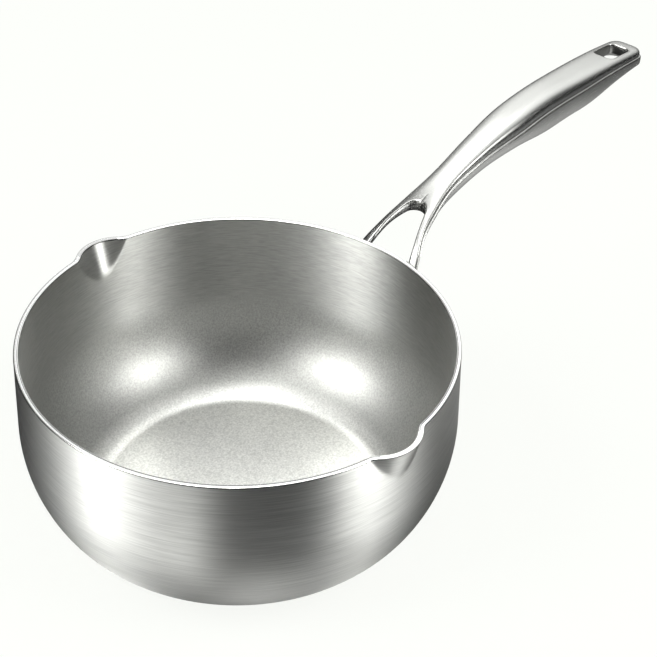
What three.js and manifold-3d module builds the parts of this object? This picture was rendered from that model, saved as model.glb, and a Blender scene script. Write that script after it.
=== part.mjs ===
// Deep round-bottomed saucepan with two pressed pouring spouts and a hollow forked handle.
// Millimetres, +Z up. The origin is the centre of the base's underside and the handle runs along +X.

import * as THREE from "three";
import { mergeVertices } from "three/addons/utils/BufferGeometryUtils.js";
import Module from "manifold-3d";

const wasm = await Module();
wasm.setup();

// Pan body, measured on its outer face
const rimRadius = 100;
const panHeight = 95;
const cornerRadius = 15;
const bellyRadius = 56;
const shoulderRadius = 71;
const cornerTurn = THREE.MathUtils.degToRad(31);
const bellyTurn = THREE.MathUtils.degToRad(66);
const wallTurn = THREE.MathUtils.degToRad(91.8);

// Clad sheet, from the outside in, and the bond line between its plies
const outerPlyThickness = 0.5;
const corePlyThickness = 1.2;
const innerPlyThickness = 0.5;
const bondLine = 0.02;

// Pouring spouts, one on each side of the handle
const spoutReach = 5.7;
const spoutHalfWidth = 13.8;
const spoutDepth = 17;
const spoutAngles = [87.5, -93.5].map(THREE.MathUtils.degToRad);

// Saddle plate that carries the handle on the wall
const saddleWidth = 88;
const saddleHeight = 22;
const saddleThickness = 3;
const saddleCornerRadius = 9;
const saddleBelowRim = 4.5;
const spotWeldRadius = 3;
const spotWeldSink = 0.4;
const spotWeldPitch = 11;
const spotWeldFromEnd = 10;

// Handle
const handleReach = 309.5;
const handleRise = 40;
const footSink = 6;
const gripHalfWidth = 10.6;
const crownHeight = 6.6;
const bellyDepth = 16;
const seamLip = 1.1;
const handleWall = 1.5;
const tipCornerRadius = 6.5;

// Fork between the two legs
const crotchRadius = 6.2;
const crotchReach = 24.8;
const forkHalfWidth = 13.3;

// Hanging hole and its liner
const holeLength = 19.4;
const holeWidth = 12;
const holeCornerRadius = 3.2;
const holeFromTip = 18.6;
const linerWall = 1;

// Weld beads at the feet of the legs
const beadSize = 1.2;

// Clearances between neighbours, and how far a cutting body runs past what it cuts
const clearance = 0.3;
const overrun = 2;

// Facets
const latheFacets = 60;
const cornerFacets = 2;
const bellyFacets = 4;
const shoulderFacets = 2;
const spoutFacets = 44;
const crownFacets = 6;
const legSteps = 12;
const gripSteps = 16;
const tipSteps = 5;
const weldFacets = 12;

// Curves of the handle's section, from 2 for an ellipse upwards to squarer shapes
const crownPower = 2.8;
const bellyPower = 2.6;

// The handle from the wall to its tip: [place along it, rise, half width, crown, belly, belly power],
// each as a share of its length, handleRise, gripHalfWidth, crownHeight, bellyDepth and bellyPower
const handleShares = [
  [0, -0.33, 1.95, 0.39, 0.14, 1],
  [0.035, -0.095, 1.65, 0.39, 0.14, 1],
  [0.08, 0.16, 1.2, 0.39, 0.14, 1],
  [0.14, 0.345, 0.9, 0.4, 0.23, 1],
  [0.22, 0.532, 0.665, 0.42, 0.54, 1],
  [0.34, 0.753, 0.75, 0.66, 0.61, 1],
  [0.46, 0.915, 0.926, 1.02, 0.74, 1],
  [0.58, 0.99, 0.953, 1.03, 1.05, 1],
  [0.72, 0.99, 1, 0.85, 1, 1.15],
  [0.86, 0.965, 0.99, 0.63, 0.54, 3],
  [0.93, 0.941, 0.962, 0.566, 0.37, 4.2],
  [1, 0.91, 0.92, 0.5, 0.28, 4.6],
];
const tipCrownShare = 0.65;
const tipBellyShare = 0.45;

// The hollow in the handle starts here, as a share of the handle's length
const hollowStartShare = 0.26;

// Finishes
const brushedSteel = new THREE.MeshStandardMaterial({ color: 0xb9b8b3, roughness: 0.38, metalness: 1 });
const blastedSteel = new THREE.MeshStandardMaterial({ color: 0xa9a8a2, roughness: 0.5, metalness: 1 });
const coreAluminium = new THREE.MeshStandardMaterial({ color: 0xc4c6c8, roughness: 0.45, metalness: 1 });
const polishedSteel = new THREE.MeshStandardMaterial({ color: 0xcfcec9, roughness: 0.16, metalness: 1 });
const weldSteel = new THREE.MeshStandardMaterial({ color: 0x9a9893, roughness: 0.42, metalness: 1 });

// A closed solid from a geometry whose shared corners are merged
function solidFrom(geometry) {
  geometry.deleteAttribute("normal");
  geometry.deleteAttribute("uv");
  const merged = mergeVertices(geometry);
  const corners = merged.index.array;
  const kept = [];
  for (let i = 0; i < corners.length; i += 3) {
    const [a, b, c] = corners.slice(i, i + 3);
    if (a !== b && b !== c && c !== a) kept.push(a, b, c);
  }
  const mesh = new wasm.Mesh({
    numProp: 3,
    vertProperties: merged.attributes.position.array,
    triVerts: Uint32Array.from(kept),
  });
  return new wasm.Manifold(mesh);
}

// The geometry of a solid, for a mesh in the scene
function geometryFrom(solid) {
  const mesh = solid.getMesh();
  const geometry = new THREE.BufferGeometry();
  geometry.setAttribute("position", new THREE.BufferAttribute(mesh.vertProperties, mesh.numProp));
  geometry.setIndex(new THREE.BufferAttribute(mesh.triVerts, 1));
  geometry.computeVertexNormals();
  return geometry;
}

// Half section of the wall, `inset` inside its outer face, from the edge of the flat base to the rim plane.
// Three arcs follow each other, each tangent to the one before, and a straight leans in to the rim.
function wallOutline(inset, flatRadius) {
  const outline = [new THREE.Vector2(flatRadius, inset)];
  const centre = new THREE.Vector2(flatRadius, cornerRadius);
  const arcs = [
    { radius: cornerRadius, from: 0, to: cornerTurn, facets: cornerFacets },
    { radius: bellyRadius, from: cornerTurn, to: bellyTurn, facets: bellyFacets },
    { radius: shoulderRadius, from: bellyTurn, to: wallTurn, facets: shoulderFacets },
  ];
  let lastRadius = cornerRadius;
  for (const { radius, from, to, facets } of arcs) {
    centre.x += (lastRadius - radius) * Math.sin(from);
    centre.y -= (lastRadius - radius) * Math.cos(from);
    lastRadius = radius;
    for (let i = 1; i <= facets; i++) {
      const turn = from + ((to - from) * i) / facets;
      const reach = radius - inset;
      outline.push(new THREE.Vector2(centre.x + reach * Math.sin(turn), centre.y - reach * Math.cos(turn)));
    }
  }
  const foot = outline.at(-1);
  outline.push(new THREE.Vector2(foot.x + (panHeight - foot.y) / Math.tan(wallTurn), panHeight));
  return outline;
}

// The flat of the base is what the arcs and the lean leave inside the rim's radius
const baseRadius = rimRadius - wallOutline(0, 0).at(-1).x;

// Radius of the wall's outer face at a depth below the rim, on its straight part
const wallRadius = (depth) => rimRadius - depth / Math.tan(wallTurn);

// The slanted punch that presses a spout. Its foot touches the wall at the spout's depth, and at the rim
// it reaches out by spoutReach over a chord of twice spoutHalfWidth.
function spoutPunch(inset, lift, angle) {
  const footRadius = spoutHalfWidth ** 2 / (2 * spoutReach);
  const rimArcRadius = footRadius + spoutReach / 2;
  const footCentre = wallRadius(spoutDepth) - footRadius;
  const rimCentre = rimRadius + spoutReach - rimArcRadius;
  const rise = (spoutDepth + lift) / spoutDepth;
  const topRadius = footRadius + (rimArcRadius - footRadius) * rise;
  const height = spoutDepth + lift;
  const punch = new THREE.CylinderGeometry(topRadius - inset, footRadius - inset, height, spoutFacets);
  punch.rotateX(Math.PI / 2);
  punch.translate(0, 0, height / 2);
  punch.applyMatrix4(new THREE.Matrix4().makeShear(0, 0, 0, 0, (rimCentre - footCentre) / spoutDepth, 0));
  punch.translate(footCentre, 0, panHeight - spoutDepth);
  punch.rotateZ(angle);
  return solidFrom(punch);
}

// The pan as a filled body, `inset` inside its outer face, up to `lift` above the rim plane
function wallForm(inset, lift) {
  const outline = wallOutline(inset, baseRadius);
  const rim = outline.at(-1);
  outline.unshift(new THREE.Vector2(0, inset));
  if (lift > 0) outline.push(new THREE.Vector2(rim.x + lift / Math.tan(wallTurn), rim.y + lift));
  outline.push(new THREE.Vector2(0, rim.y + lift));
  const lathe = new THREE.LatheGeometry(outline, latheFacets);
  lathe.rotateX(Math.PI / 2);
  return solidFrom(lathe);
}

// The same body with its two spouts
function panForm(inset, lift) {
  return spoutAngles.reduce((form, angle) => form.add(spoutPunch(inset, lift, angle)), wallForm(inset, lift));
}

// One ply of the clad sheet, between two depths in the wall
function ply(outside, thickness) {
  return panForm(outside, 0).subtract(panForm(outside + thickness, overrun));
}

// Shape with rounded corners, centred on the origin
function roundedRectangle(length, width, radius) {
  const x = length / 2 - radius;
  const y = width / 2 - radius;
  const shape = new THREE.Shape();
  shape.absarc(x, y, radius, 0, Math.PI / 2);
  shape.absarc(-x, y, radius, Math.PI / 2, Math.PI);
  shape.absarc(-x, -y, radius, Math.PI, 1.5 * Math.PI);
  shape.absarc(x, -y, radius, 1.5 * Math.PI, 2 * Math.PI);
  shape.closePath();
  return shape;
}

// Sizes of the saddle that the handle is fitted to
const saddleOutset = clearance + saddleThickness;
const saddleTop = panHeight - saddleBelowRim;
const saddleMiddle = saddleTop - saddleHeight / 2;
const saddleFaceRadius = wallRadius(saddleBelowRim) + saddleOutset;

// Curved plate on the outside of the wall, with the sunk marks of the spot welds that hold it there
function saddle() {
  const plate = wallForm(-saddleOutset, 0).subtract(wallForm(-clearance, overrun));
  const outline = roundedRectangle(saddleHeight, saddleWidth, saddleCornerRadius);
  const opening = new THREE.ExtrudeGeometry(outline, {
    depth: saddleFaceRadius,
    bevelEnabled: false,
    curveSegments: 5,
  });
  opening.rotateY(Math.PI / 2);
  opening.translate(saddleFaceRadius / 2, 0, saddleMiddle);
  let solid = plate.intersect(solidFrom(opening));
  const side = saddleWidth / 2 - spotWeldFromEnd;
  for (const y of [-side, 0, side]) {
    for (const z of [-spotWeldPitch / 2, spotWeldPitch / 2]) {
      solid = solid.subtract(spotWeldMark(Math.asin(y / saddleFaceRadius), saddleMiddle + z));
    }
  }
  return solid;
}

// A spot weld's mark: a shallow round sink, square to the saddle's face
function spotWeldMark(angle, height) {
  const depth = panHeight - height;
  const face = wallRadius(depth) + saddleOutset;
  const mark = new THREE.CylinderGeometry(spotWeldRadius, spotWeldRadius, spotWeldSink + overrun, weldFacets);
  mark.rotateZ(Math.PI / 2);
  mark.translate(face - spotWeldSink + (spotWeldSink + overrun) / 2, 0, height);
  mark.rotateZ(angle);
  return solidFrom(mark);
}

// Place and sizes of the handle's section at a distance x from the pan's axis
const handleStart = saddleFaceRadius - footSink;
const handleLength = handleReach - handleStart;
const handleCurve = new THREE.CubicInterpolant(
  handleShares.map((row) => row[0]),
  handleShares.flatMap((row) => row.slice(1)),
  5,
);

function handleSection(x) {
  const [rise, width, crown, belly, power] = handleCurve.evaluate((x - handleStart) / handleLength);
  const pastCorner = Math.max(0, (x - (handleReach - tipCornerRadius)) / tipCornerRadius);
  const rounding = 1 - Math.sqrt(Math.max(0, 1 - pastCorner ** 2));
  return {
    seam: panHeight + rise * handleRise - crown * crownHeight,
    halfWidth: width * gripHalfWidth - tipCornerRadius * rounding,
    crown: crown * crownHeight * (1 - (1 - tipCrownShare) * rounding),
    belly: belly * bellyDepth * (1 - (1 - tipBellyShare) * rounding),
    power: power * bellyPower,
  };
}

// Stations along the whole handle, drawn together round its tip
function wholeHandle() {
  const cornerStart = handleReach - tipCornerRadius;
  const neck = handleStart + hollowStartShare * handleLength;
  const stations = [];
  for (let i = 0; i < legSteps; i++) stations.push(handleStart + ((neck - handleStart) * i) / legSteps);
  for (let i = 0; i <= gripSteps; i++) stations.push(neck + ((cornerStart - neck) * i) / gripSteps);
  for (let i = 1; i <= tipSteps; i++) {
    stations.push(cornerStart + tipCornerRadius * Math.sin((Math.PI / 2) * (i / tipSteps)));
  }
  return stations;
}

// Stations along the hollow, which ends short of the tip's rounding
function hollowHandle() {
  const from = handleStart + hollowStartShare * handleLength;
  const to = handleReach - tipCornerRadius - handleWall / 2;
  return Array.from({ length: gripSteps + 1 }, (_, i) => from + ((to - from) * i) / gripSteps);
}

// One half of the handle: a loft through half sections that stand on the seam, `way` up for the crown and
// down for the belly. `half` gives each section's half width, height, foot and the power of its curve.
function halfLoft(stations, way, half) {
  const steps = stations.length - 1;
  const sides = 2 * (crownFacets + 1);
  const loft = new THREE.CylinderGeometry(1, 1, 1, sides, steps);
  const places = loft.attributes.position;
  for (let i = 0; i < places.count; i++) {
    const x = stations[Math.round((0.5 - places.getY(i)) * steps)];
    const { halfWidth, height, foot, power } = half(x);
    const spread = Math.hypot(places.getX(i), places.getZ(i));
    const angle = Math.atan2(places.getX(i), places.getZ(i));
    const corner = Math.round((Math.abs(angle) / Math.PI) * (crownFacets + 1));
    const fall = (Math.PI / 2) * Math.min(1, corner / crownFacets);
    const inFlat = Math.max(0, corner - crownFacets);
    const across = halfWidth * Math.sin(fall) ** (2 / power) * (1 - inFlat);
    const up = height * Math.sin(Math.PI / 2 - fall) ** (2 / power);
    const y = spread * across * Math.sign(angle) * way;
    places.setXYZ(i, x, y, foot + way * (height / 2 + spread * (up - height / 2)));
  }
  return solidFrom(loft);
}

// The upper and lower halves of the handle as filled bodies, grown by `grow` on every side
function crownForm(grow) {
  return halfLoft(wholeHandle(), 1, (x) => {
    const { seam, halfWidth, crown } = handleSection(x);
    return { halfWidth: halfWidth + grow, height: crown + grow, foot: seam, power: crownPower };
  });
}

function bellyForm(grow) {
  return halfLoft(wholeHandle(), -1, (x) => {
    const { seam, halfWidth, belly, power } = handleSection(x);
    const height = belly - clearance + grow;
    return { halfWidth: halfWidth + seamLip + grow, height, foot: seam - clearance, power };
  });
}

// The hollows inside them, which run past the seam so that the halves are open there
function crownHollow() {
  return halfLoft(hollowHandle(), 1, (x) => {
    const { seam, halfWidth, crown } = handleSection(x);
    const height = crown - handleWall + overrun;
    return { halfWidth: halfWidth - handleWall, height, foot: seam - overrun, power: crownPower };
  });
}

function bellyHollow() {
  return halfLoft(hollowHandle(), -1, (x) => {
    const { seam, halfWidth, belly, power } = handleSection(x);
    const inside = halfWidth + seamLip - handleWall;
    return { halfWidth: inside, height: belly - handleWall + overrun, foot: seam + overrun, power };
  });
}

// Upright prism of a plan outline, past the top and bottom of the handle
function planCut(outline, grow) {
  const height = 2 * (handleRise + bellyDepth);
  const extrusion = { depth: height, bevelEnabled: false, curveSegments: 9 };
  const prism = new THREE.ExtrudeGeometry(outline(grow), extrusion);
  prism.translate(0, 0, panHeight - height / 2);
  return solidFrom(prism);
}

// Plan of the fork: two straights from the wall that run tangent into the round crotch
function forkOutline(grow) {
  const radius = crotchRadius + grow;
  const centre = saddleFaceRadius + crotchReach - crotchRadius;
  const run = centre - saddleFaceRadius;
  const open = forkHalfWidth + grow;
  const slope = Math.atan2(open, run) - Math.asin(radius / Math.hypot(run, open));
  const startWidth = open + (saddleFaceRadius - handleStart + overrun) * Math.tan(slope);
  const fork = new THREE.Shape();
  fork.moveTo(handleStart - overrun, startWidth);
  fork.lineTo(handleStart - overrun, -startWidth);
  fork.absarc(centre, 0, radius, slope - Math.PI / 2, Math.PI / 2 - slope);
  fork.closePath();
  return fork;
}

// Plan of the hanging hole, grown by `grow` on every side
function holeOutline(grow) {
  const hole = roundedRectangle(holeLength + 2 * grow, holeWidth + 2 * grow, holeCornerRadius + grow);
  const middle = handleReach - holeFromTip;
  const points = hole.getPoints(6).map((point) => new THREE.Vector2(point.x + middle, point.y));
  return new THREE.Shape(points);
}

// What both halves of the handle are cut with
const saddleCut = wallForm(-(saddleOutset + clearance), handleRise);
const forkCut = planCut(forkOutline, 0);
const linerSeat = planCut(holeOutline, linerWall + clearance);

function handleHalf(form, hollow) {
  return form.subtract(hollow).subtract(forkCut).subtract(linerSeat).subtract(saddleCut);
}

// The handle as one filled body, its seam closed
function wholeForm(grow) {
  const seamStrip = halfLoft(wholeHandle(), -1, (x) => {
    const { seam, halfWidth, belly, power } = handleSection(x);
    return { halfWidth: halfWidth + grow, height: belly / 2, foot: seam + clearance, power };
  });
  return crownForm(grow).add(seamStrip).add(bellyForm(grow));
}

// Sleeve that lines the hanging hole, trimmed flush with the handle's top and underside
function holeLiner() {
  return planCut(holeOutline, linerWall).subtract(planCut(holeOutline, 0)).intersect(wholeForm(0));
}

// Fillet weld round the foot of one leg, `side` 1 for the left leg and -1 for the right
function footWeld(side) {
  const collar = (grow) => wholeForm(grow).subtract(planCut(forkOutline, -grow));
  const ring = collar(beadSize).subtract(collar(clearance));
  const layer = wallForm(-(saddleOutset + clearance + beadSize), handleRise).subtract(saddleCut);
  const half = new THREE.BoxGeometry(handleReach, handleReach, handleReach);
  half.translate(0, (side * handleReach) / 2, 0);
  return ring.intersect(layer).intersect(solidFrom(half));
}

const saucepan = new THREE.Group();

function addPiece(name, solid, finish) {
  const piece = new THREE.Mesh(geometryFrom(solid), finish);
  piece.name = name;
  saucepan.add(piece);
}

const coreDepth = outerPlyThickness + bondLine;
const innerDepth = coreDepth + corePlyThickness + bondLine;

addPiece("pan_outer_ply", ply(0, outerPlyThickness), brushedSteel);
addPiece("pan_core_ply", ply(coreDepth, corePlyThickness), coreAluminium);
addPiece("pan_inner_ply", ply(innerDepth, innerPlyThickness), blastedSteel);
addPiece("handle_saddle", saddle(), polishedSteel);
addPiece("handle_upper_half", handleHalf(crownForm(0), crownHollow()), polishedSteel);
addPiece("handle_lower_half", handleHalf(bellyForm(0), bellyHollow()), polishedSteel);
addPiece("hanging_hole_liner", holeLiner(), polishedSteel);
addPiece("foot_weld_left", footWeld(1), weldSteel);
addPiece("foot_weld_right", footWeld(-1), weldSteel);

export default saucepan;
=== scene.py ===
"""Saucepan with pressed pouring spouts and a forked handle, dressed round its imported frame.

Lengths are in metres. The origin is the centre of the pan's underside, +Z is up and the handle runs along +X.
"""

import logging
import math
from collections.abc import Callable, Iterable, Iterator, Sequence
from dataclasses import dataclass, replace
from typing import ClassVar

import bmesh
import bpy
from mathutils import Matrix, Vector


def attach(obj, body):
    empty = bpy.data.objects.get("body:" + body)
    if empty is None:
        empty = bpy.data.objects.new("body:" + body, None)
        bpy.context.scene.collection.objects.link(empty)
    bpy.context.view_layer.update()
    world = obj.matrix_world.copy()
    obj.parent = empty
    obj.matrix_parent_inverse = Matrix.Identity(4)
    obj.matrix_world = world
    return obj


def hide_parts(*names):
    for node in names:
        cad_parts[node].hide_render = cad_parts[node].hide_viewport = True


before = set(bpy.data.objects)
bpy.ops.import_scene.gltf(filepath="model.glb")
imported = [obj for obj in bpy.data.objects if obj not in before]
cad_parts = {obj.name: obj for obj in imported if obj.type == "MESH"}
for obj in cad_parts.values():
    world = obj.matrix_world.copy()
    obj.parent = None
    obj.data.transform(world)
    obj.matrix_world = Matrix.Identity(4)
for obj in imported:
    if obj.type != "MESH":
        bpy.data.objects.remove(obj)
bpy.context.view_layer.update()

MM = 0.001
DEGREE = math.pi / 180
MERGE = 0.002 * MM
BODY = "root"
SMOOTH_BELOW = 35 * DEGREE
ACROSS_THE_LINES = 0.25
MIX_COLOURS = 6, 7
MIX_RESULT = 2

log = logging.getLogger("saucepan")


class Signal:
    """A shader output that Python's operators turn into Math nodes."""

    def __init__(self, graph: "Graph", output: bpy.types.NodeSocket) -> None:
        """Wraps one output socket of a graph's node."""
        self.graph = graph
        self.output = output

    def __add__(self, other: "Signal | float") -> "Signal":
        """Sum of two signals."""
        return self.graph.math("ADD", self, other)

    def __sub__(self, other: "Signal | float") -> "Signal":
        """This signal less another."""
        return self.graph.math("SUBTRACT", self, other)

    def __mul__(self, other: "Signal | float") -> "Signal":
        """Product of two signals."""
        return self.graph.math("MULTIPLY", self, other)

    def __truediv__(self, other: "Signal | float") -> "Signal":
        """This signal over another."""
        return self.graph.math("DIVIDE", self, other)

    def __pow__(self, other: float) -> "Signal":
        """This signal to a power."""
        return self.graph.math("POWER", self, other)


class Graph:
    """Node tree of one material, written as expressions."""

    def __init__(self, tree: bpy.types.NodeTree) -> None:
        """Starts from an empty tree."""
        self.tree = tree
        tree.nodes.clear()

    def node(
        self,
        kind: str,
        settings: dict[str, object] | None = None,
        inputs: dict[str | int, object] | None = None,
        output: str | int = 0,
    ) -> Signal:
        """Adds a node of a kind, with its properties and its inputs' values or signals: gives one output."""
        made = self.tree.nodes.new(kind)
        for key, value in (settings or {}).items():
            setattr(made, key, value)
        for key, value in (inputs or {}).items():
            if isinstance(value, Signal):
                self.tree.links.new(value.output, made.inputs[key])
            else:
                made.inputs[key].default_value = value
        return Signal(self, made.outputs[output] if made.outputs else None)

    def math(self, operation: str, first: Signal | float, second: Signal | float) -> Signal:
        """Math node of two operands."""
        return self.node("ShaderNodeMath", {"operation": operation}, {0: first, 1: second})

    def place(self) -> Signal:
        """Object coordinates."""
        return self.node("ShaderNodeTexCoord", output="Object")

    def parts(self, vector: Signal) -> tuple[Signal, Signal, Signal]:
        """The three numbers of a vector."""
        split = self.node("ShaderNodeSeparateXYZ", inputs={0: vector})
        x, y, z = (Signal(self, output) for output in split.output.node.outputs)
        return x, y, z

    def vector(self, x: Signal | float, y: Signal | float, z: Signal | float) -> Signal:
        """A vector of three numbers."""
        return self.node("ShaderNodeCombineXYZ", inputs={0: x, 1: y, 2: z})

    def noise(self, vector: Signal, scale: float, detail: float = 2, roughness: float = 0.5) -> Signal:
        """Noise from 0 to 1."""
        inputs = {"Vector": vector, "Scale": scale, "Detail": detail, "Roughness": roughness}
        return self.node("ShaderNodeTexNoise", inputs=inputs)

    def tint(self, share: Signal, low: Sequence[float], high: Sequence[float]) -> Signal:
        """Colour between two, by a share from 0 to 1."""
        first, second = MIX_COLOURS
        inputs = {0: share, first: (*low, 1), second: (*high, 1)}
        return self.node("ShaderNodeMix", {"data_type": "RGBA"}, inputs, MIX_RESULT)


@dataclass(frozen=True)
class Steel:
    """A steel finish: fine lines or grain that wander a little in colour, gloss and height.

    Attributes:
        name: Material's name.
        colour: Mean base colour.
        contrast: Share by which the colour swings either way.
        roughness: Mean roughness.
        swing: How far the roughness swings either way.
        pitch: Distance between brush lines, or size of a grain.
        stretch: How much longer than wide a line is, 1 for grain.
        relief: Height of the lines.
        along_handle: Whether the lines run along the handle, and not round the pan.
        anisotropy: Stretch of the highlights across the lines.
        SPREAD: How strongly the lines' noise swings the colour.
        CLOUD: Size of the faint patches over the whole piece.
    """

    name: str
    colour: tuple[float, float, float]
    contrast: float
    roughness: float
    swing: float
    pitch: float
    stretch: float
    relief: float
    along_handle: bool = False
    anisotropy: float = 0.0

    SPREAD: ClassVar[float] = 2.4
    CLOUD: ClassVar[float] = 60 * MM

    def shader(self, graph: Graph) -> Signal:
        """Metal shader with this finish's lines or grain."""
        lines = graph.noise(self._lines(graph), 1 / self.pitch, detail=3, roughness=0.6)
        cloud = graph.noise(graph.place(), 1 / self.CLOUD)
        share = (lines - 0.5) * self.SPREAD + cloud
        low = [channel * (1 - self.contrast) for channel in self.colour]
        high = [min(1.0, channel * (1 + self.contrast)) for channel in self.colour]
        bump = graph.node("ShaderNodeBump", inputs={"Strength": 1, "Distance": self.relief, "Height": lines})
        return graph.node(
            "ShaderNodeBsdfPrincipled",
            inputs={
                "Base Color": graph.tint(share, low, high),
                "Metallic": 1,
                "Roughness": (lines - 0.5) * (2 * self.swing) + self.roughness,
                "Anisotropic": self.anisotropy,
                "Anisotropic Rotation": ACROSS_THE_LINES,
                "Normal": bump,
            },
        )

    def _lines(self, graph: Graph) -> Signal:
        """Object coordinates, shrunk along the lines so that the noise draws them out."""
        x, y, z = graph.parts(graph.place())
        if self.along_handle:
            return graph.vector(x / self.stretch, y, z)
        if self.stretch == 1:
            return graph.place()
        along_profile = (x * x + y * y) ** 0.5 + z
        return graph.vector(x / self.stretch, y / self.stretch, along_profile)


@dataclass(frozen=True)
class TwoZones:
    """A finish that changes gradually with height from one steel to another.

    Attributes:
        name: Material's name.
        low: Finish below.
        high: Finish above.
        start: Level where the change starts.
        end: Level where it ends.
    """

    name: str
    low: "Steel | TwoZones"
    high: "Steel | TwoZones"
    start: float
    end: float

    def shader(self, graph: Graph) -> Signal:
        """Both steels' shaders, mixed by height."""
        level = graph.parts(graph.place())[2]
        settings = {"interpolation_type": "SMOOTHSTEP"}
        inputs = {"Value": level, "From Min": self.start, "From Max": self.end}
        share = graph.node("ShaderNodeMapRange", settings, inputs)
        mix = {0: share, 1: self.low.shader(graph), 2: self.high.shader(graph)}
        return graph.node("ShaderNodeMixShader", inputs=mix)


def finished(name: str, shader: Callable[[Graph], Signal]) -> bpy.types.Material:
    """Material of a name, made once with the surface shader that a function gives."""
    known = bpy.data.materials.get(name)
    if known is not None:
        return known
    made = bpy.data.materials.new(name)
    made.use_nodes = True
    graph = Graph(made.node_tree)
    graph.node("ShaderNodeOutputMaterial", inputs={"Surface": shader(graph)})
    return made


Finish = Steel | TwoZones

TURNED_WALL = Steel(
    "turned_wall", (0.55, 0.55, 0.535), contrast=0.16, roughness=0.38, swing=0.07, pitch=0.55 * MM,
    stretch=45, relief=0.008 * MM, anisotropy=0.9,
)
# Light colour of the inner floor: painted light on the upward-facing floor. The grain is the steel's own.
FLOOR_GRAIN_PAINTED_LIGHT = Steel(
    "grained_floor_painted_light", (0.68, 0.68, 0.66), contrast=0.22, roughness=0.40, swing=0.05, pitch=0.9 * MM,
    stretch=1, relief=0.05 * MM,
)
# Darker colour of the inner belly: painted shade inside the pan. The grain is the steel's own.
BELLY_GRAIN_PAINTED_SHADE = replace(
    FLOOR_GRAIN_PAINTED_LIGHT, name="grained_belly_painted_shade", colour=(0.40, 0.40, 0.387), roughness=0.42, relief=0.04 * MM
)
# Painted light on the floor, fading to painted shade up the belly between 3 and 9 mm.
BOTTOM_PAINTED_LIGHT_TO_SHADE = TwoZones("grained_bottom_painted_light_to_shade", FLOOR_GRAIN_PAINTED_LIGHT, BELLY_GRAIN_PAINTED_SHADE, 3 * MM, 9 * MM)
# Darker colour of the inner wall: painted shade inside the pan. The brush lines are the steel's own.
INNER_WALL_PAINTED_SHADE = replace(
    TURNED_WALL, name="brushed_inside_painted_shade", colour=(0.40, 0.40, 0.387), roughness=0.40, swing=0.05,
    pitch=0.6 * MM, stretch=12,
)
# Inside of the pan: painted light on the floor and painted shade up the belly and wall.
PAN_INSIDE_PAINTED_LIGHT_AND_SHADE = TwoZones("inside_steel_painted_light_and_shade", BOTTOM_PAINTED_LIGHT_TO_SHADE, INNER_WALL_PAINTED_SHADE, 34 * MM, 56 * MM)
BRIGHT_RIM = Steel(
    "bright_rim", (0.74, 0.74, 0.73), contrast=0.02, roughness=0.12, swing=0.02, pitch=0.3 * MM,
    stretch=40, relief=0.0005 * MM,
)
# Near-black colour of the rim's sideways faces: a painted dark reflection beside the bright polished flat.
RIM_SIDE_PAINTED_REFLECTION = replace(BRIGHT_RIM, name="rim_side_painted_reflection", colour=(0.12, 0.12, 0.117), roughness=0.26)
ALUMINIUM_EDGE = replace(BRIGHT_RIM, name="aluminium_edge", colour=(0.82, 0.82, 0.82), roughness=0.20)
SATIN_HANDLE = Steel(
    "satin_handle", (0.50, 0.50, 0.489), contrast=0.01, roughness=0.24, swing=0.005, pitch=1.2 * MM,
    stretch=40, relief=0.00002 * MM, along_handle=True,
)
# Dark colour of the hole's sleeve: painted shade inside the hanging hole.
HOLE_LINER_PAINTED_SHADE = replace(
    BRIGHT_RIM, name="hole_liner_painted_shade", colour=(0.36, 0.36, 0.35), roughness=0.30, pitch=0.4 * MM,
    stretch=20, relief=0.001 * MM,
)
WELD_METAL = replace(
    FLOOR_GRAIN_PAINTED_LIGHT, name="weld_metal", colour=(0.50, 0.50, 0.49), contrast=0.08, roughness=0.34,
    pitch=0.8 * MM, relief=0.02 * MM,
)


def add_object(name: str, bm: bmesh.types.BMesh, materials: Iterable[bpy.types.Material]) -> bpy.types.Object:
    """Puts a bmesh in the scene as an object, and frees it."""
    mesh = bpy.data.meshes.new(name)
    bm.to_mesh(mesh)
    bm.free()
    for material in materials:
        mesh.materials.append(material)
    made = bpy.data.objects.new(name, mesh)
    bpy.context.scene.collection.objects.link(made)
    return made


def grid(bm: bmesh.types.BMesh, wide: int, high: int) -> Iterator[tuple[bmesh.types.BMVert, int, int]]:
    """Adds a grid of so many cells, and gives each vertex with its column and row."""
    bmesh.ops.create_grid(bm, x_segments=wide, y_segments=high, size=1)
    for vertex in bm.verts:
        yield vertex, round((vertex.co.x + 1) / 2 * wide), round((vertex.co.y + 1) / 2 * high)


def verts_of(made: dict[str, list]) -> list[bmesh.types.BMVert]:
    """The vertices among what a bmesh operator made."""
    return [item for item in made["geom"] if isinstance(item, bmesh.types.BMVert)]


def keep_piece(
    name: str, bm: bmesh.types.BMesh, nodes: Iterable[str], finishes: Iterable[Finish]
) -> bpy.types.Object:
    """Turns a bmesh into a finished piece of the part.

    Args:
        name: The piece's name.
        bm: Its mesh, in place. It is freed.
        nodes: The frame's nodes that it stands for.
        finishes: Its finishes, in the order of the faces' material numbers.

    Returns:
        The piece's object.
    """
    piece = add_object(name, bm, [finished(finish.name, finish.shader) for finish in finishes])
    piece.data.shade_smooth()
    piece.data.set_sharp_from_angle(angle=SMOOTH_BELOW)
    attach(piece, BODY)
    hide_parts(*nodes)
    log.info("%s: %d faces", name, len(piece.data.polygons))
    return piece


Ring = tuple[Vector, float]


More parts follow.
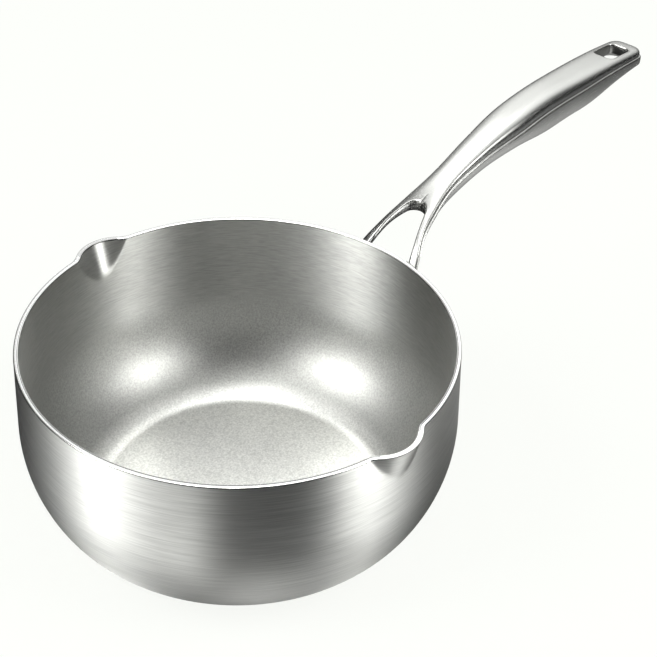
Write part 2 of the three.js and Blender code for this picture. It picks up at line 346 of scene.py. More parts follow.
@dataclass
class Vessel:
    """The clad pan: three plies turned from one wall outline, with a spout pressed on either side.

    Attributes:
        flat_share: Upward part of a face's normal above which it belongs to the rim's flat, not to its side,
            whose near-black colour is a painted dark reflection.
        cone_below: How far under its foot a spout's cone is followed, as a share of its depth.
    """

    rim_radius: float = 100 * MM
    height: float = 95 * MM
    corner_radius: float = 15 * MM
    belly_radius: float = 56 * MM
    shoulder_radius: float = 71 * MM
    corner_turn: float = 31 * DEGREE
    belly_turn: float = 66 * DEGREE
    wall_turn: float = 91.8 * DEGREE
    outer_ply: float = 0.5 * MM
    core_ply: float = 1.2 * MM
    inner_ply: float = 0.5 * MM
    bond_line: float = 0.02 * MM
    rim_rounding: float = 0.42 * MM
    polished_band: float = 0.8 * MM
    flat_share: float = 0.6
    spout_reach: float = 5.7 * MM
    spout_half_width: float = 13.8 * MM
    spout_depth: float = 17 * MM
    spout_angles: tuple[float, float] = (87.5 * DEGREE, -93.5 * DEGREE)
    crease_at_foot: float = 0.8 * MM
    crease_at_rim: float = 2.4 * MM
    spout_arc: float = 28 * DEGREE
    spout_steps: int = 100
    spout_margin: float = 1.15
    cone_below: float = 0.6
    plain_step: float = 2 * DEGREE
    plain_rows: int = 5
    spout_rows: int = 34
    rounding_steps: int = 5
    base_shares: tuple[float, ...] = (0, 0.03, 0.1, 0.3, 0.5, 0.7, 0.85, 0.94, 1)

    def outline(self, inset: float) -> list[Vector]:
        """Half section of the wall, a depth inside its outer face, from the axis up to the rim plane."""
        flat = self.rim_radius - self._reach_of_arcs()
        points = [Vector((flat * share, inset)) for share in self.base_shares]
        for centre, radius, start, end, steps in self._arcs():
            for i in range(1, steps + 1):
                turn = start + (end - start) * i / steps
                out = (radius - inset) * Vector((math.sin(turn), -math.cos(turn)))
                points.append(Vector((flat, 0)) + centre + out)
        foot = points[-1]
        middle = self.height - self.spout_depth * self.spout_margin
        levels = [foot.y + (middle - foot.y) * i / self.plain_rows for i in range(1, self.plain_rows)]
        levels += [middle + (self.height - middle) * i / self.spout_rows for i in range(self.spout_rows + 1)]
        return points + [self._on_straight(foot, level) for level in levels]

    def _arcs(self) -> list[tuple[Vector, float, float, float, int]]:
        """Centre from the flat base's edge, radius, first and last turn and steps of each arc."""
        centre, last = Vector((0, self.corner_radius)), self.corner_radius
        arcs = []
        for radius, start, end, steps in (
            (self.corner_radius, 0, self.corner_turn, 8),
            (self.belly_radius, self.corner_turn, self.belly_turn, 16),
            (self.shoulder_radius, self.belly_turn, self.wall_turn, 12),
        ):
            centre = centre + (last - radius) * Vector((math.sin(start), -math.cos(start)))
            last = radius
            arcs.append((centre, radius, start, end, steps))
        return arcs

    def _reach_of_arcs(self) -> float:
        """How far the arcs and the lean of the wall reach out from the flat base to the rim."""
        centre, radius, _, turn, _ = self._arcs()[-1]
        foot = centre + radius * Vector((math.sin(turn), -math.cos(turn)))
        return foot.x + (self.height - foot.y) / math.tan(turn)

    def _on_straight(self, foot: Vector, level: float) -> Vector:
        """Point of the wall's straight at a level."""
        return Vector((foot.x + (level - foot.y) / math.tan(self.wall_turn), level))

    def wall_radius(self, depth: float) -> float:
        """Radius of the outer face at a depth below the rim, on its straight."""
        return self.rim_radius - depth / math.tan(self.wall_turn)

    def with_spouts(self, point: Vector, angle: float, inset: float) -> Vector:
        """Turns a point of the section round the pan, where the spouts push it out.

        Args:
            point: Radius and level on the half section.
            angle: Where it goes round the pan.
            inset: Its depth inside the wall's outer face.

        Returns:
            The point in space, out on a spout's cone where that passes the wall, with a soft crease.
        """
        reach = point.x
        rise = (point.y - self.height + self.spout_depth) / self.spout_depth
        if rise > -self.cone_below:
            foot_radius = self.spout_half_width**2 / (2 * self.spout_reach)
            foot_centre = self.wall_radius(self.spout_depth) - foot_radius
            rim_radius = foot_radius + self.spout_reach / 2
            rim_centre = self.rim_radius + self.spout_reach - rim_radius
            centre = foot_centre + (rim_centre - foot_centre) * rise
            radius = foot_radius + (rim_radius - foot_radius) * rise - inset
            crease = self.crease_at_foot + (self.crease_at_rim - self.crease_at_foot) * max(0, rise) ** 2
            for spout in self.spout_angles:
                side, ahead = centre * math.sin(angle - spout), centre * math.cos(angle - spout)
                if abs(side) < radius and ahead > 0:
                    cone = ahead + math.sqrt(radius**2 - side**2)
                    overlap = max(0, crease - abs(cone - point.x)) / crease
                    reach = max(point.x, cone) + overlap**2 * crease / 4
        return Vector((reach * math.cos(angle), reach * math.sin(angle), point.y))

    def ply(self, name: str, outside: float, thickness: float, finish: Finish) -> bpy.types.Object:
        """Turns one ply and presses its spouts.

        Args:
            name: Name of the piece and of the node that it stands for.
            outside: Depth of its outer face in the wall.
            thickness: Its thickness.
            finish: Finish below the polished rim.

        Returns:
            The ply's object.
        """
        inside = outside + thickness
        rings = [(point, outside) for point in self.outline(outside)]
        rings += [(point, inside) for point in reversed(self.outline(inside))]
        rings = self._rounded_rim(rings, outside, inside)
        angles = self._angles()
        bm = bmesh.new()
        for vertex, column, row in grid(bm, len(angles) - 1, len(rings) - 1):
            point, inset = rings[row]
            vertex.co = self.with_spouts(point, angles[column], inset)
        bmesh.ops.remove_doubles(bm, verts=bm.verts, dist=MERGE)
        bmesh.ops.recalc_face_normals(bm, faces=bm.faces)
        bm.normal_update()
        # Sideways faces of the polished band take the painted dark reflection, upward faces the bright rim.
        for face in bm.faces:
            if face.calc_center_median().z > self.height - self.polished_band:
                face.material_index = 1 if abs(face.normal.z) > self.flat_share else 2
        rim = [ALUMINIUM_EDGE] * 2 if finish is ALUMINIUM_EDGE else [BRIGHT_RIM, RIM_SIDE_PAINTED_REFLECTION]
        return keep_piece(name, bm, [name], [finish, *rim])

    def _rounded_rim(self, rings: list[Ring], outside: float, inside: float) -> list[Ring]:
        """Rounds the rim's outer and inner corners, where the ply has one of them."""
        made = []
        for point, inset in rings:
            at_rim = point.y > self.height - self.rim_rounding
            if at_rim and inset == outside == 0:
                made += self._corner(point.x, inset, 1)
            elif at_rim and inset == inside and inside > self.outer_ply + self.core_ply:
                made += self._corner(point.x, inset, -1)
            else:
                made.append((point, inset))
        return made

    def _corner(self, x: float, inset: float, way: int) -> list[Ring]:
        """Quarter circle at the rim: up from the outer face for a way of 1, down to the inner for -1."""
        radius = self.rim_rounding
        arc = []
        for i in range(self.rounding_steps + 1):
            turn = math.pi / 2 * i / self.rounding_steps
            sink = radius * (1 - math.cos(turn))
            level = self.height - radius + radius * math.sin(turn)
            arc.append((Vector((x - way * sink, level)), inset))
        return arc[::way]

    def _angles(self) -> list[float]:
        """Angles of the columns round the pan, finer across the spouts."""
        second, first = self.spout_angles
        gaps = [second - first - self.spout_arc, 2 * math.pi - (second - first) - self.spout_arc]
        angles = [first - self.spout_arc / 2]
        for gap in gaps:
            for arc, steps in ((self.spout_arc, self.spout_steps), (gap, round(gap / self.plain_step))):
                start = angles[-1]
                angles += [start + arc * i / steps for i in range(1, steps + 1)]
        return angles

    def build(self) -> list[bpy.types.Object]:
        """Makes the three plies."""
        core = self.outer_ply + self.bond_line
        inner = core + self.core_ply + self.bond_line
        return [
            self.ply("pan_outer_ply", 0, self.outer_ply, TURNED_WALL),
            self.ply("pan_core_ply", core, self.core_ply, ALUMINIUM_EDGE),
            # The inner ply carries the painted light and shade of the inside.
            self.ply("pan_inner_ply", inner, self.inner_ply, PAN_INSIDE_PAINTED_LIGHT_AND_SHADE),
        ]


def rounded_box_distance(x: float, y: float, half_length: float, half_width: float, radius: float) -> float:
    """Distance from a point to a centred rectangle with rounded corners, negative inside."""
    over_x = abs(x) - half_length + radius
    over_y = abs(y) - half_width + radius
    return math.hypot(max(over_x, 0), max(over_y, 0)) + min(max(over_x, over_y), 0) - radius


def share_to_edge(ray: Vector, half_length: float, half_width: float, radius: float) -> float:
    """Share of a ray from the middle of a rounded rectangle at which it leaves the rectangle."""
    low, high = 0.5, 1.6
    for _ in range(30):
        share = (low + high) / 2
        outside = rounded_box_distance(ray.x * share, ray.y * share, half_length, half_width, radius) > 0
        low, high = (low, share) if outside else (share, high)
    return low


def edge_drop(distance: float, radius: float) -> float:
    """How much a rounded edge lowers a face, at a distance from the edge."""
    inside = max(0.0, radius - max(0.0, distance))
    return radius - math.sqrt(max(0.0, radius**2 - inside**2))


def bulge(aside: float, half_width: float, power: float) -> float:
    """Height of a superellipse, 1 in its middle and 0 at its half width."""
    across = min(1.0, abs(aside) / max(half_width, MERGE))
    return (1 - across**power) ** (1 / power)


def hermite(stations: Sequence[Sequence[float]], place: float) -> list[float]:
    """Values at a place of the smooth curves through stations, each a row of its place and values."""
    last = len(stations) - 2
    i = max(0, min(last, sum(row[0] <= place for row in stations) - 1))
    here, there = stations[i], stations[i + 1]
    width = there[0] - here[0]
    t = (place - here[0]) / width
    values = []
    for column in range(1, len(here)):
        slope_in, slope_out = _slope(stations, i, column), _slope(stations, i + 1, column)
        values.append(
            here[column] * (2 * t**3 - 3 * t**2 + 1)
            + there[column] * (3 * t**2 - 2 * t**3)
            + width * (slope_in * (t**3 - 2 * t**2 + t) + slope_out * (t**3 - t**2))
        )
    return values


def _slope(stations: Sequence[Sequence[float]], i: int, column: int) -> float:
    """Slope at a station: the mean of the slopes of its chords."""
    rows = stations[max(0, i - 1) : i + 2]
    chords = [(b[column] - a[column]) / (b[0] - a[0]) for a, b in zip(rows, rows[1:])]
    return sum(chords) / len(chords)


@dataclass
class Saddle:
    """Curved plate on the wall that carries the handle, with the sunk marks of its spot welds."""

    vessel: Vessel
    width: float = 88 * MM
    height: float = 22 * MM
    thickness: float = 3 * MM
    corner_radius: float = 9 * MM
    below_rim: float = 4.5 * MM
    gap: float = 0.3 * MM
    edge_rounding: float = 0.9 * MM
    mark_radius: float = 3 * MM
    mark_sink: float = 0.4 * MM
    mark_pitch: float = 11 * MM
    mark_from_end: float = 10 * MM
    mark_steepness: float = 3
    corner_turn: float = 60 * DEGREE
    edge_steps: int = 4
    cells_along: int = 150
    cells_up: int = 40

    def face_radius(self) -> float:
        """Radius of the plate's outer face at its top edge."""
        return self.vessel.wall_radius(self.below_rim) + self.gap + self.thickness

    def build(self) -> bpy.types.Object:
        """Makes the plate: a rounded sheet bent round the wall, thickened, with its edge rounded."""
        bm = bmesh.new()
        bmesh.ops.create_grid(bm, x_segments=self.cells_along, y_segments=self.cells_up, size=1)
        for vertex in bm.verts:
            vertex.co = self._in_plan(vertex.co.x, vertex.co.y)
        made = bmesh.ops.extrude_face_region(bm, geom=bm.faces[:], use_keep_orig=True)
        outer = set(verts_of(made))
        for vertex in bm.verts:
            vertex.co = self._bent(vertex.co, vertex in outer)
        bmesh.ops.recalc_face_normals(bm, faces=bm.faces)
        edges = [edge for edge in bm.edges if edge.is_manifold and edge.calc_face_angle() > self.corner_turn]
        size, steps = self.edge_rounding, self.edge_steps
        bmesh.ops.bevel(bm, geom=edges, offset=size, affect="EDGES", segments=steps, profile=0.5, material=-1)
        return keep_piece("handle_saddle", bm, ["handle_saddle"], [SATIN_HANDLE])

    def _in_plan(self, u: float, v: float) -> Vector:
        """Maps a square's point to the rounded plate laid flat, by scaling it along its ray."""
        half = Vector((self.width / 2, self.height / 2))
        square = Vector((u * half.x, v * half.y, 0))
        outmost = max(abs(u), abs(v))
        if outmost == 0:
            return square
        return square * share_to_edge(square / outmost, half.x, half.y, self.corner_radius)

    def _bent(self, flat: Vector, outer: bool) -> Vector:
        """Bends a flat point round the wall, on the plate's inner or outer face."""
        level = self.vessel.height - self.below_rim - self.height / 2 + flat.y
        radius = self.vessel.wall_radius(self.vessel.height - level) + self.gap
        if outer:
            radius += self.thickness - self._sink(flat)
        angle = math.asin(flat.x / self.face_radius())
        return Vector((radius * math.cos(angle), radius * math.sin(angle), level))

    def _sink(self, flat: Vector) -> float:
        """How deep the spot welds' marks are at a flat point."""
        side = self.width / 2 - self.mark_from_end
        sink = 0.0
        for x in (-side, 0, side):
            for y in (-self.mark_pitch / 2, self.mark_pitch / 2):
                share = math.hypot(flat.x - x, flat.y - y) / self.mark_radius
                if share < 1:
                    sink = self.mark_sink * min(1, self.mark_steepness * (1 - share**2))
        return sink


@dataclass
class Handle:
    """The hollow handle: an upper and a lower half that part at a seam, forked at the pan, holed at the end.

    Attributes:
        rise: Unit of the seam's rise over the pan's rim in the stations.
        mouth_flare: Depth of the countersink round the hole's lower end.
        row_blend: Rows on either side over which the rows' outer ends are evened out.
        rounding_places: Columns beside a cut, in shares of the rounding's radius.
        stations: Place along the handle, then rise, half width, crown, belly and the belly's power, each as
            a share of its unit above.
    """

    vessel: Vessel
    saddle: Saddle
    reach: float = 309.5 * MM
    rise: float = 40 * MM
    foot_sink: float = 6 * MM
    grip_half_width: float = 10.6 * MM
    crown_height: float = 6.6 * MM
    belly_depth: float = 16 * MM
    seam_lip: float = 1.1 * MM
    seam_line: float = 0.3 * MM
    ledge_rounding: float = 0.9 * MM
    tip_corner: float = 6.5 * MM
    tip_rounding: float = 2 * MM
    tip_crown_share: float = 0.65
    tip_belly_share: float = 0.45
    crotch_radius: float = 6.2 * MM
    crotch_reach: float = 24.8 * MM
    fork_half_width: float = 13.3 * MM
    hole_length: float = 19.4 * MM
    hole_width: float = 12 * MM
    hole_corner: float = 3.2 * MM
    hole_from_tip: float = 18.6 * MM
    liner_wall: float = 1 * MM
    liner_fit: float = 0.06 * MM
    foot_gap: float = 0.3 * MM
    cut_rounding: float = 0.7 * MM
    under_rounding: float = 1.1 * MM
    mouth_flare: float = 3 * MM
    liner_rounding: float = 0.6 * MM
    crown_power: float = 3.5
    belly_power: float = 2.6
    columns: int = 30
    row_blend: int = 9
    leg_steps: int = 16
    crotch_steps: int = 14
    seam_steps: int = 64
    hole_end_steps: int = 4
    hole_corner_steps: int = 6
    hole_side_steps: int = 8
    tip_steps: int = 16
    liner_steps: int = 112
    rounding_places: tuple[float, ...] = (0, 0.12, 0.3, 0.55, 0.85, 1.25)
    stations: tuple[tuple[float, ...], ...] = (
        (0, -0.33, 1.95, 0.39, 0.14, 1),
        (0.035, -0.095, 1.65, 0.39, 0.14, 1),
        (0.08, 0.16, 1.2, 0.39, 0.14, 1),
        (0.14, 0.345, 0.9, 0.4, 0.23, 1),
        (0.22, 0.532, 0.665, 0.42, 0.54, 1),
        (0.34, 0.753, 0.75, 0.66, 0.61, 1),
        (0.46, 0.915, 0.926, 1.02, 0.74, 1),
        (0.58, 0.99, 0.953, 1.03, 1.05, 1),
        (0.72, 0.99, 1, 0.85, 1, 1.15),
        (0.86, 0.965, 0.99, 0.63, 0.54, 3),
        (0.93, 0.941, 0.962, 0.566, 0.37, 4.2),
        (1, 0.91, 0.92, 0.5, 0.28, 4.6),
    )

    def start(self) -> float:
        """Where the handle's sections begin, inside the saddle."""
        return self.saddle.face_radius() - self.foot_sink

    def section(self, x: float) -> tuple[float, float, float, float, float]:
        """The seam's level, half width, crown, belly and belly's power at a distance from the pan's axis."""
        place = (x - self.start()) / (self.reach - self.start())
        rise, width, crown, belly, power = hermite(self.stations, place)
        past = min(1.0, max(0.0, (x - self.reach + self.tip_corner) / self.tip_corner))
        corner = 1 - math.sqrt(1 - past**2)
        end = min(1.0, max(0.0, (x - self.reach + self.tip_rounding) / self.tip_rounding))
        close = math.sqrt(1 - end**2)
        seam = self.vessel.height + rise * self.rise - crown * self.crown_height
        half_width = width * self.grip_half_width - self.tip_corner * corner
        crown *= self.crown_height * (1 - (1 - self.tip_crown_share) * corner) * close
        belly *= self.belly_depth * (1 - (1 - self.tip_belly_share) * corner) * close
        return seam, half_width, crown, belly, power * self.belly_power

    def fork(self) -> tuple[Vector, Vector, Vector]:
        """Centre of the crotch, and the way and the outward normal of the fork's left side."""
        face = self.saddle.face_radius()
        run = self.crotch_reach - self.crotch_radius
        turn = math.atan2(self.fork_half_width, run) - math.asin(
            self.crotch_radius / math.hypot(run, self.fork_half_width)
        )
        centre = Vector((face + run, 0))
        cos, sin = math.cos(turn), math.sin(turn)
        return centre, Vector((cos, -sin)), Vector((sin, cos))

    def fork_distance(self, x: float, y: float) -> float:
        """Distance in plan from the fork."""
        centre, way, normal = self.fork()
        offset = Vector((x, abs(y))) - centre
        return (offset.dot(normal) if offset.dot(way) < 0 else offset.length) - self.crotch_radius

    def hole_distance(self, x: float, y: float) -> float:
        """Distance in plan from the hanging hole."""
        x -= self.reach - self.hole_from_tip
        return rounded_box_distance(x, y, self.hole_length / 2, self.hole_width / 2, self.hole_corner)

    def inner_chain(self) -> list[Vector]:
        """Plan points of the left half's inner edge: fork's side, centre line, round the hole, tip."""
        centre, way, normal = self.fork()
        tangent = centre + self.crotch_radius * normal
        foot = tangent + way * ((self.saddle.face_radius() + self.foot_gap - tangent.x) / way.x)
        chain = [foot.lerp(tangent, i / self.leg_steps) for i in range(self.leg_steps)]
        turn = math.atan2(normal.y, normal.x)
        chain += self._arc(centre, self.crotch_radius, turn, 0, self.crotch_steps)
        grow = self.liner_wall + self.liner_fit
        start = self.reach - self.hole_from_tip - self.hole_length / 2 - grow
        end = self.reach - self.hole_from_tip + self.hole_length / 2 + grow
        side, radius = self.hole_width / 2 + grow, self.hole_corner + grow
        straight, length = side - radius, end - start - 2 * radius
        seam, across, along = self.seam_steps, self.hole_end_steps, self.hole_side_steps
        crotch, corner = chain[-1].x, self.hole_corner_steps
        chain += [Vector((crotch + (start - crotch) * i / seam, 0)) for i in range(1, seam)]
        chain += [Vector((start, straight * i / across)) for i in range(across)]
        chain += self._arc(Vector((start + radius, straight)), radius, math.pi, math.pi / 2, corner)
        chain += [Vector((start + radius + length * i / along, side)) for i in range(1, along)]
        chain += self._arc(Vector((end - radius, straight)), radius, math.pi / 2, 0, corner)
        chain += [Vector((end, straight * (1 - i / across))) for i in range(1, across + 1)]
        for i in range(1, self.tip_steps + 1):
            share = math.sin(math.pi / 2 * i / self.tip_steps)
            chain.append(Vector((end + (self.reach - end) * share, 0)))
        return chain

    @staticmethod
    def _arc(centre: Vector, radius: float, start: float, end: float, steps: int) -> list[Vector]:
        """Points of an arc, both ends among them."""
        angles = [start + (end - start) * i / steps for i in range(steps + 1)]
        return [centre + radius * Vector((math.cos(a), math.sin(a))) for a in angles]

    def plan_rows(self) -> list[tuple[Vector, float]]:
        """Each row's inner point and the place of its outer end, evened out past the inner edge's bends."""
        chain = self.inner_chain()
        places = [point.x for point in chain]
        rows = []
        for i, point in enumerate(chain):
            reach = min(self.row_blend, i, len(chain) - 1 - i)
            window = places[i - reach : i + reach + 1]
            rows.append((point, sum(window) / len(window)))
        return rows

    def half(
        self, name: str, slot: str, surface: Callable[[float, float], float], seam: float, lip: float
    ) -> bpy.types.Object:
        """Makes one half of the handle as a closed shell.

        Args:
            name: Name of the piece and of the node that it stands for.
            slot: Material slot, not used.
            surface: Height of the outer surface over its seam plane, at a point in plan.
            seam: How far its flat face lies below the handle's seam.
            lip: How far its edge stands out past the upper half's.

        Returns:
            The piece.
        """
        rows = self.plan_rows()
        bm = bmesh.new()
        for vertex, row, column in grid(bm, len(rows) - 1, self.columns):
            vertex.co = self._in_plan(*rows[row], column, lip)
        mirrored = bmesh.ops.duplicate(bm, geom=bm.verts[:] + bm.edges[:] + bm.faces[:])
        bmesh.ops.scale(bm, verts=verts_of(mirrored), vec=(1, -1, 1))
        bmesh.ops.remove_doubles(bm, verts=bm.verts, dist=MERGE)
        made = bmesh.ops.extrude_face_region(bm, geom=bm.faces[:], use_keep_orig=True)
        outer = set(verts_of(made))
        for vertex in bm.verts:
            x, y = vertex.co.x, vertex.co.y
            ledge = -self._ledge_drop(x, y) if lip else 0
            depth = surface(x, y) if vertex in outer else 0
            vertex.co.z = self.section(x)[0] - seam + (min(ledge, depth) if lip else depth)
        bmesh.ops.remove_doubles(bm, verts=bm.verts, dist=MERGE)
        bmesh.ops.recalc_face_normals(bm, faces=bm.faces)
        return keep_piece(name, bm, [name], [SATIN_HANDLE])

    def _in_plan(self, inner: Vector, outer_x: float, column: int, lip: float) -> Vector:
        """Plan point of a row's column: close to the inner edge first, then drawing in to the outer edge."""
        half_width = self.section(outer_x)[1]
        outer = Vector((outer_x, half_width + (lip if half_width > 0 else 0)))
        length = (outer - inner).length
        unit = self.under_rounding / max(length, MERGE)
        last = len(self.rounding_places) - 1
        near = min(column, last)
        share = min(self.rounding_places[near] * unit, near / self.columns)
        if column > last:
            share += (1 - share) * math.sin(math.pi / 2 * (column - last) / (self.columns - last))
        point = inner.lerp(outer, share)
        face = self.saddle.face_radius() + self.foot_gap
        fade = max(0.0, 1 - (point.x - face) / (2 * self.foot_sink)) ** 2
        drawn_in = face - math.sqrt(max(0.0, face**2 - point.y**2))
        return Vector((point.x - drawn_in * min(1, fade), point.y, 0))

    def crown_surface(self, x: float, y: float) -> float:
        """Height of the upper half over the seam."""
        _, half_width, crown, _, _ = self.section(x)
        height = crown * bulge(y, half_width, self.crown_power)
        return max(0.0, height - edge_drop(self.fork_distance(x, y), self.cut_rounding))

    def belly_surface(self, x: float, y: float) -> float:
        """Depth of the lower half under the seam, as a negative height."""
        _, half_width, _, belly, power = self.section(x)
        height = belly * bulge(y, half_width + self.seam_lip, power)
        past_liner = self.hole_distance(x, y) - self.liner_wall - self.liner_fit
        flare = max(0.0, self.mouth_flare - max(0.0, past_liner))
        rounded = edge_drop(self.fork_distance(x, y), self.under_rounding)
        return -max(0.0, height - max(flare, rounded))

    def _ledge_drop(self, x: float, y: float) -> float:
        """How much the rounded shoulder of the lower half's ledge lies below the seam."""
        _, half_width, _, belly, _ = self.section(x)
        return edge_drop(half_width + self.seam_lip - abs(y), min(self.ledge_rounding, belly / 2))

    def build(self) -> list[bpy.types.Object]:
        """Makes both halves and the liner of the hole."""
        return [
            self.half("handle_upper_half", "handle_top", self.crown_surface, 0, 0),
            self.half("handle_lower_half", "handle_belly", self.belly_surface, self.seam_line, self.seam_lip),
            self.liner(),
        ]

    def liner(self) -> bpy.types.Object:
        """Makes the sleeve in the hanging hole, flush with the surfaces above and below."""
        bm = bmesh.new()
        made = bmesh.ops.create_circle(bm, cap_ends=False, segments=self.liner_steps, radius=1)
        directions = {vertex: vertex.co.copy() for vertex in made["verts"]}
        loops = [bm.edges[:]]
        levels = self._liner_levels()
        for vertex, direction in directions.items():
            vertex.co = self._liner_point(direction, *levels[0])
        for grow, top, sink in levels[1:]:
            made = bmesh.ops.extrude_edge_only(bm, edges=loops[-1])
            verts = set(verts_of(made))
            edges = [edge for edge in bm.edges if verts.issuperset(edge.verts)]
            for vertex in verts:
                ends = (edge.other_vert(vertex) for edge in vertex.link_edges)
                directions[vertex] = directions[next(end for end in ends if end not in verts)]
                vertex.co = self._liner_point(directions[vertex], grow, top, sink)
            loops.append(edges)
        bmesh.ops.bridge_loops(bm, edges=loops[0] + loops[-1])
        bmesh.ops.recalc_face_normals(bm, faces=bm.faces)
        # The sleeve's dark colour is painted shade inside the hole.
        return keep_piece("hanging_hole_liner", bm, ["hanging_hole_liner"], [HOLE_LINER_PAINTED_SHADE])

    def _liner_levels(self) -> list[tuple[float, bool, float]]:
        """The sleeve's section: growth past the hole, whether at the upper surface, and sink below it."""
        radius, flush = self.liner_rounding, self.mouth_flare
        turns = (0, 0.3, 0.65, 1.05, math.pi / 2)
        arc = [(radius * (1 - math.sin(turn)), radius * (1 - math.cos(turn))) for turn in turns]
        up = [(grow, True, sink) for grow, sink in reversed(arc)]
        down = [(grow, False, flush + sink) for grow, sink in arc]
        return up + [(self.liner_wall, True, 0), (self.liner_wall, False, flush)] + down

    def _liner_point(self, direction: Vector, grow: float, top: bool, sink: float) -> Vector:
        """Point of the sleeve in a direction from the hole's centre."""
        middle = self.reach - self.hole_from_tip
        half_x, half_y = self.hole_length / 2 + grow, self.hole_width / 2 + grow
        ray = Vector((direction.x * half_x, direction.y * half_y))
        share = share_to_edge(ray, half_x, half_y, self.hole_corner + grow)
        x, y = middle + ray.x * share, ray.y * share
        seam, half_width, crown, belly, power = self.section(x)
        if top:
            return Vector((x, y, seam + crown * bulge(y, half_width, self.crown_power) - sink))
        depth = belly * bulge(y, half_width + self.seam_lip, power)
        return Vector((x, y, seam - self.seam_line - depth + sink))


@dataclass(frozen=True)
class Glow:
    """One soft light on the tent that the metal mirrors.

    Attributes:
        turn: Degrees round from the camera's side, anticlockwise from above.
        lift: Place on the tent: radians above the ground, or on the ground the logarithm of the distance
            from the middle over the tent's radius.
        width: Half width in degrees.
        height: Half height, as lift counts it.
        level: Brightness.
    """

    turn: float
    lift: float
    width: float
    height: float
    level: float

    def light(
        self, graph: Graph, azimuth: float, x: Signal, y: Signal, reach: Signal, lift: Signal
    ) -> Signal:
        """Its brightness over the tent, given the camera's azimuth and the graph's signals of place."""
        middle = azimuth + self.turn * DEGREE
        aside = (x * math.cos(middle) + y * math.sin(middle)) / reach - 1
        above = (lift - self.lift) / self.height
        power = aside / (self.width * DEGREE) ** 2 - above * above * 0.5
        return graph.node("ShaderNodeMath", {"operation": "EXPONENT"}, {0: power}) * self.level


@dataclass
class Tent:
    """Light tent round the set, seen only in the metal: a dome, and a ring on the floor round the pan."""

    azimuth: float
    radius: float = 3.0
    inner_radius: float = 0.07
    lift_off_floor: float = 0.5 * MM
    fill: float = 0.03
    colour: tuple[float, ...] = (0.99, 1.0, 0.98, 1)
    rows: int = 24
    columns: int = 72
    glows: tuple[Glow, ...] = (
        Glow(292, 0.38, 8, 0.19, 27),
        Glow(54, -0.16, 7, 0.23, 10),
        Glow(57, 0.44, 8, 0.16, 20),
        Glow(185, 1.31, 17, 0.2, 10.5),
        Glow(60, -2.18, 11, 0.19, 8),
        Glow(348, 1.47, 14, 0.19, 8.5),
        Glow(307, 0.32, 9, 0.29, 7.5),
        Glow(320, 1.25, 8, 0.21, 7.2),
        Glow(288, -1.83, 15, 0.44, 2.4),
        Glow(264, 1.19, 20, 0.26, 1.8),
        Glow(341, -2.86, 7, 0.13, 2.3),
        Glow(56, 1.41, 35, 0.16, 2.3),
        Glow(5, -3.31, 13, 0.17, 1.0),
        Glow(34, -3.22, 12, 0.17, 0.4),
        Glow(99, -2.33, 23, 0.17, 0.95),
        Glow(327, -2.61, 10, 0.37, 0.94),
        Glow(163, 0.6, 22, 0.3, 1.5),
        Glow(130, 1.05, 35, 0.25, 1.3),
        Glow(130, -2.0, 14, 0.3, 0.35),
    )

    def build(self) -> None:
        """Spins the tent from its profile: out along the floor, then up to the top."""
        bm = bmesh.new()
        profile = [bm.verts.new((self.inner_radius, 0, self.lift_off_floor))]
        for i in range(self.rows):
            turn = math.pi / 2 * i / self.rows
            level = self.lift_off_floor + self.radius * math.sin(turn)
            profile.append(bm.verts.new((self.radius * math.cos(turn), 0, level)))
        profile.append(bm.verts.new((0, 0, self.radius + self.lift_off_floor)))
        edges = [bm.edges.new(pair) for pair in zip(profile, profile[1:])]
        geometry, turn = profile + edges, 2 * math.pi
        bmesh.ops.spin(bm, geom=geometry, axis=(0, 0, 1), angle=turn, steps=self.columns, use_merge=True)
        bmesh.ops.remove_doubles(bm, verts=bm.verts, dist=MERGE)
        material = finished("tent_light", self.light)
        material.cycles.emission_sampling = "NONE"
        tent = add_object("light_tent", bm, [material])
        for ray in ("camera", "diffuse", "transmission", "volume_scatter", "shadow"):
            setattr(tent, "visible_" + ray, False)

    def light(self, graph: Graph) -> Signal:
        """The sum of the glows, as an emission shader."""
        x, y, z = graph.parts(graph.place())
        reach = (x * x + y * y) ** 0.5 + MERGE
        above = graph.math("ARCTAN2", z, reach)
        along = graph.math("LOGARITHM", reach / self.radius, math.e)
        on_dome = graph.math("GREATER_THAN", z, 2 * self.lift_off_floor)
        lift = along + (above - along) * on_dome
        lights = [glow.light(graph, self.azimuth, x, y, reach, lift) for glow in self.glows]
        total = lights[0] + self.fill
        for light in lights[1:]:
            total = total + light
        return graph.node("ShaderNodeEmission", inputs={"Color": self.colour, "Strength": total})


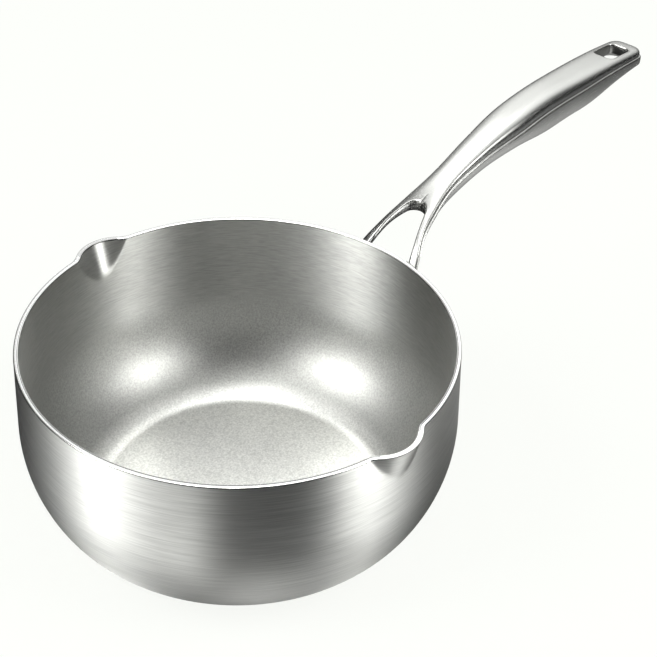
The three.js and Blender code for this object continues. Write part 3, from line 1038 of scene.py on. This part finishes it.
@dataclass
class Studio:
    """Camera, white ground and soft lights.

    Attributes:
        ground_glow: Share of plain white in the ground where the camera or the metal sees it.
        sky: Strength of the world's light, and what the camera and the metal see beyond it.
    """

    vessel: Vessel
    camera_distance: float = 700 * MM
    camera_azimuth: float = -135 * DEGREE
    camera_height_angle: float = 37.00 * DEGREE
    yaw: float = 4.11 * DEGREE
    pitch: float = 36.66 * DEGREE
    roll: float = 1.72 * DEGREE
    lens: float = 85.27
    sensor: float = 36.0
    floor_size: float = 30.0
    floor_drop: float = 0.2 * MM
    white: tuple[float, ...] = (0.985, 1.0, 0.965, 1)
    paper: tuple[float, ...] = (0.85, 0.85, 0.84, 1)
    ground_glow: float = 0.9
    sky: tuple[float, float] = (0.6, 0.4)
    lamp_size: float = 1.0
    lamp_power: float = 20
    lamps: tuple[tuple[str, tuple[float, float, float]], ...] = (
        ("left_softbox", (-1.2, 0.6, 1.2)),
        ("right_softbox", (0.6, -1.2, 1.2)),
    )

    def camera(self) -> None:
        """Sets the camera that looks down over the rim towards the handle."""
        rim = Vector((0, 0, self.vessel.height))
        away = Vector((math.cos(self.camera_azimuth), math.sin(self.camera_azimuth), 0))
        level, lift = math.cos(self.camera_height_angle), math.sin(self.camera_height_angle)
        place = rim + self.camera_distance * (away * level + Vector((0, 0, lift)))
        heading = Matrix.Rotation(-self.yaw, 3, "Z") @ -away
        forward = heading * math.cos(self.pitch) - Vector((0, 0, math.sin(self.pitch)))
        level_right = heading.cross(Vector((0, 0, 1)))
        level_up = level_right.cross(forward)
        right = math.cos(self.roll) * level_right + math.sin(self.roll) * level_up
        up = math.cos(self.roll) * level_up - math.sin(self.roll) * level_right
        data = bpy.data.cameras.new("camera")
        data.lens = self.lens
        data.sensor_width = self.sensor
        camera = bpy.data.objects.new("camera", data)
        axes = Matrix((right, up, -forward)).transposed().to_4x4()
        camera.matrix_world = Matrix.Translation(place) @ axes
        bpy.context.scene.collection.objects.link(camera)
        bpy.context.scene.camera = camera

    def floor(self) -> None:
        """Lays the pale ground, white to the eye and in the metal, with the pan's shadow on it."""
        bm = bmesh.new()
        bmesh.ops.create_grid(bm, x_segments=1, y_segments=1, size=self.floor_size / 2)
        bmesh.ops.translate(bm, verts=bm.verts, vec=(0, 0, -self.floor_drop))
        ground = add_object("floor", bm, [finished("pale_ground", self.ground)])

    def ground(self, graph: Graph) -> Signal:
        """Paper that takes the shadow, mixed with white where the camera and the metal look."""
        paper = graph.node("ShaderNodeBsdfDiffuse", inputs={"Color": self.paper})
        glow = graph.node("ShaderNodeEmission", inputs={"Color": self.white, "Strength": 1.0})
        share = self.seen(graph) * self.ground_glow
        return graph.node("ShaderNodeMixShader", inputs={0: share, 1: paper, 2: glow})

    def seen(self, graph: Graph) -> Signal:
        """1 for what the camera sees, straight or in a mirror or glass."""
        path = graph.node("ShaderNodeLightPath").output.node.outputs
        rays = [Signal(graph, path[f"Is {ray} Ray"]) for ray in ("Camera", "Glossy", "Transmission")]
        return graph.math("MINIMUM", rays[0] + rays[1] + rays[2], 1.0)

    def world(self) -> None:
        """Fills the space round the set with soft white."""
        world = bpy.data.worlds.new("studio")
        bpy.context.scene.world = world
        world.use_nodes = True
        graph = Graph(world.node_tree)
        plain, added = self.sky
        strength = self.seen(graph) * added + plain
        sky = graph.node("ShaderNodeBackground", inputs={"Color": self.white, "Strength": strength})
        graph.node("ShaderNodeOutputWorld", inputs={"Surface": sky})

    def lamp(self, name: str, place: Vector) -> None:
        """Hangs one soft square lamp that faces the pan, seen by no metal."""
        data = bpy.data.lights.new(name, "AREA")
        data.shape = "SQUARE"
        data.size = self.lamp_size
        data.energy = self.lamp_power
        lamp = bpy.data.objects.new(name, data)
        turn = (-place).to_track_quat("-Z", "Y").to_matrix().to_4x4()
        lamp.matrix_world = Matrix.Translation(place) @ turn
        lamp.visible_glossy = False
        bpy.context.scene.collection.objects.link(lamp)

    def build(self) -> None:
        """Sets the whole studio."""
        self.camera()
        self.floor()
        self.world()
        for name, place in self.lamps:
            self.lamp(name, Vector(place))
        Tent(self.camera_azimuth).build()


def dress_cad_nodes() -> None:
    """Gives the nodes that stay in view their finish."""
    for name in ("foot_weld_left", "foot_weld_right"):
        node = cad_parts[name]
        node.data.materials.clear()
        node.data.materials.append(finished(WELD_METAL.name, WELD_METAL.shader))


def main() -> None:
    """Builds the pan, its handle and the studio."""
    logging.basicConfig(level=logging.INFO)
    bpy.context.scene.view_settings.view_transform = "Standard"
    vessel = Vessel()
    saddle = Saddle(vessel)
    handle = Handle(vessel, saddle)
    vessel.build()
    saddle.build()
    handle.build()
    dress_cad_nodes()
    Studio(vessel).build()


if __name__ == "__main__":
    main()
